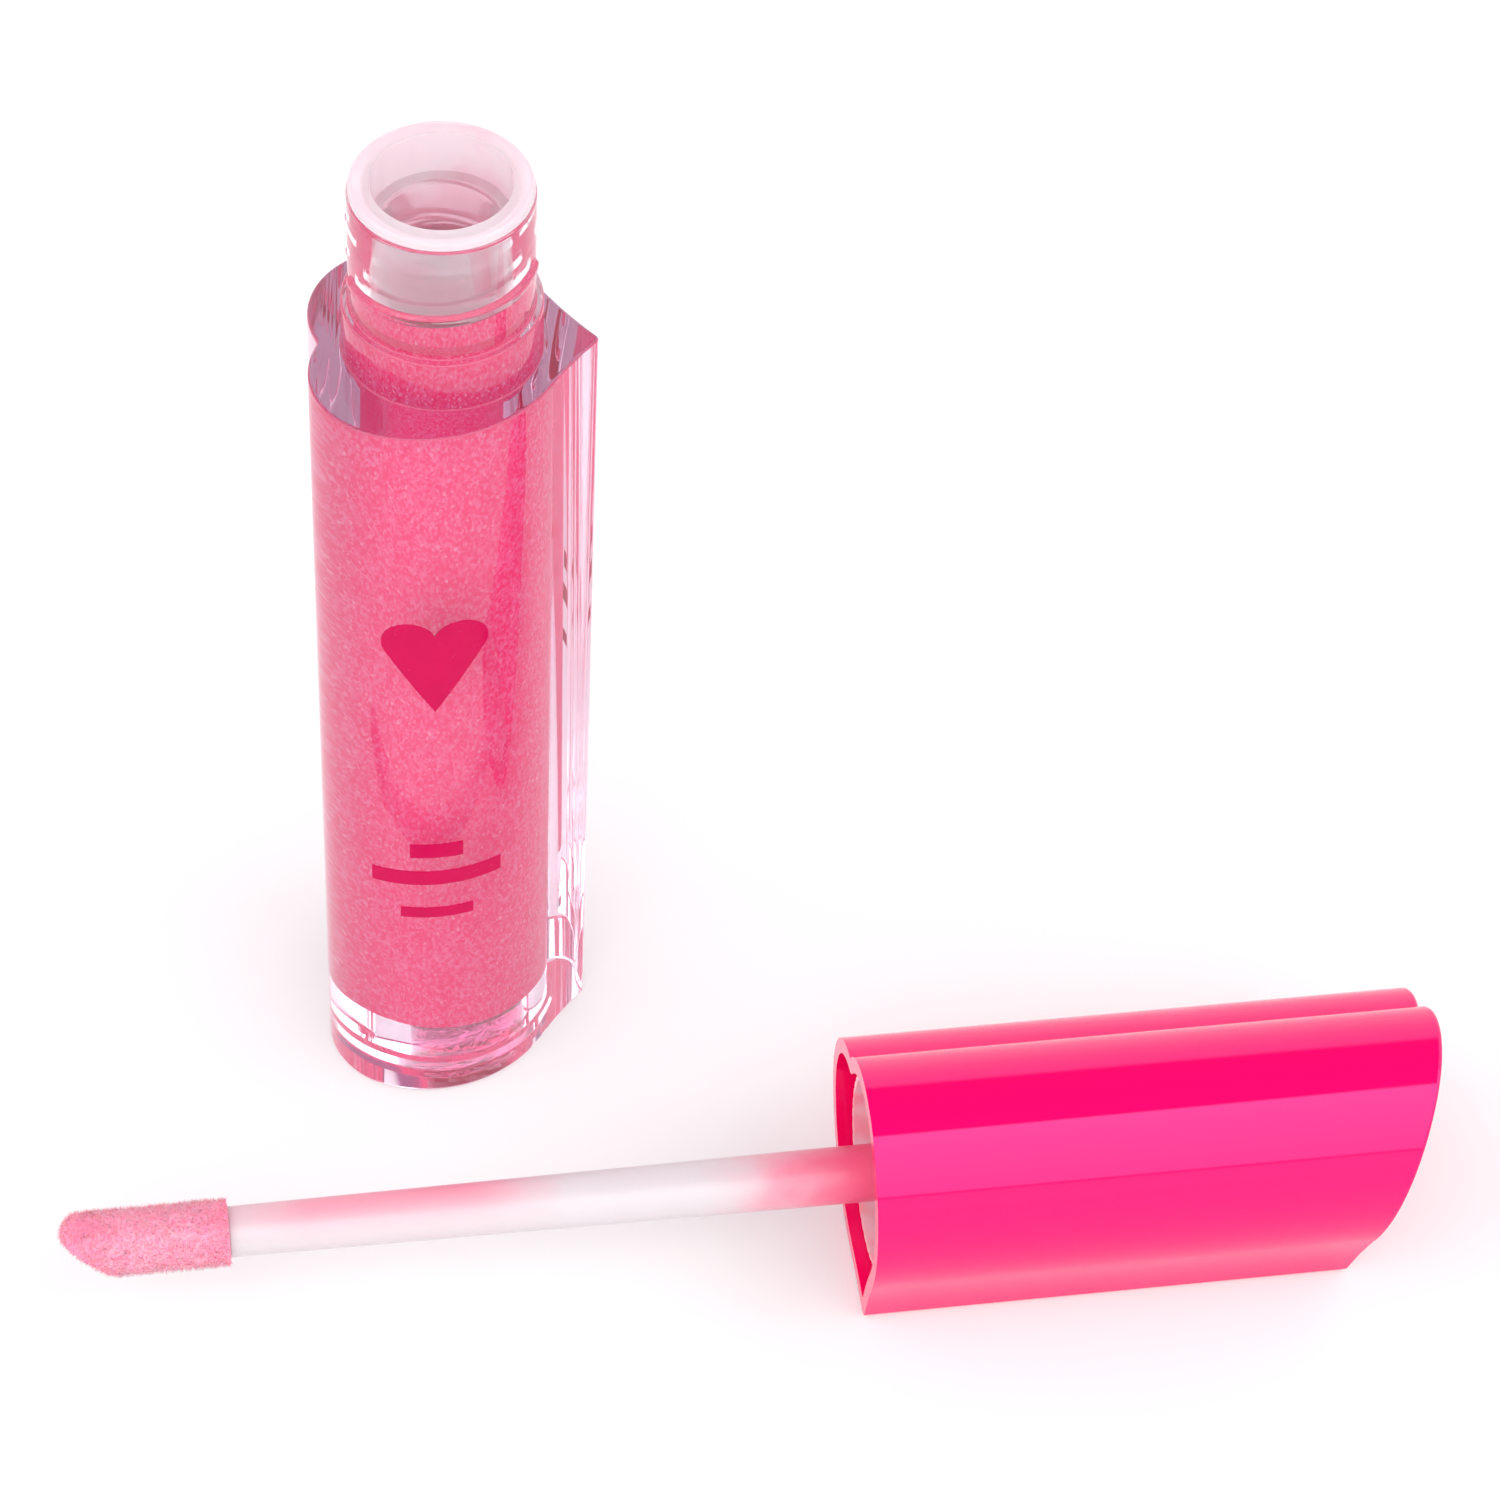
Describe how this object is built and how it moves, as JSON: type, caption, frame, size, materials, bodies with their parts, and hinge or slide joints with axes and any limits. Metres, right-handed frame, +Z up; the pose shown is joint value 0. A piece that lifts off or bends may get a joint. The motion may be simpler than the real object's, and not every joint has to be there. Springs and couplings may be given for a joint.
{
  "type": "lip gloss tube",
  "caption": "Open clear heart-section lip gloss tube with threaded neck and wiper, and its slant-ended screw cap lying beside it with the applicator wand.",
  "frame": {"origin": "on the axis of the tube bore, at the underside of the base", "axes": "+Z up along the neck of the tube, +X from its axis towards the tip of its heart-shaped section"},
  "size_m": [0.1043, 0.0452, 0.0871],
  "materials": {
    "clear_tube": "clear, polished PETG",
    "clear_plug": "clear, polished PETG",
    "clear_wiper": "clear soft plastic",
    "gloss": "wet, with fine shimmer",
    "print_ink": "printed ink, glossy",
    "cap_plastic": "glossy",
    "liner_plastic": "natural polypropylene, stained pink",
    "wand_plastic": "translucent natural polypropylene",
    "applicator_rubber": "matte",
    "flock": "short flocked fibres, wet with gloss"
  },
  "bodies": {
    "tube": {"tube_body": "clear_tube", "base_plug": "clear_plug", "wiper": "clear_wiper", "gloss_fill": "gloss", "heart_print": "print_ink", "label_bars": "print_ink"},
    "cap_and_wand": {"cap_shell": "cap_plastic", "cap_liner": "liner_plastic", "wand_stem": "wand_plastic", "applicator_core": "applicator_rubber", "applicator_flock": "flock"}
  },
  "joints": [
    {"name": "wand_swing", "type": "hinge", "parent": "tube", "child": "cap_and_wand", "pos_m": [-0.07476, -0.0053, 0.07824], "axis": [0.266, -0.945, 0.1902], "range_deg": [0, 92.15]}
  ]
}
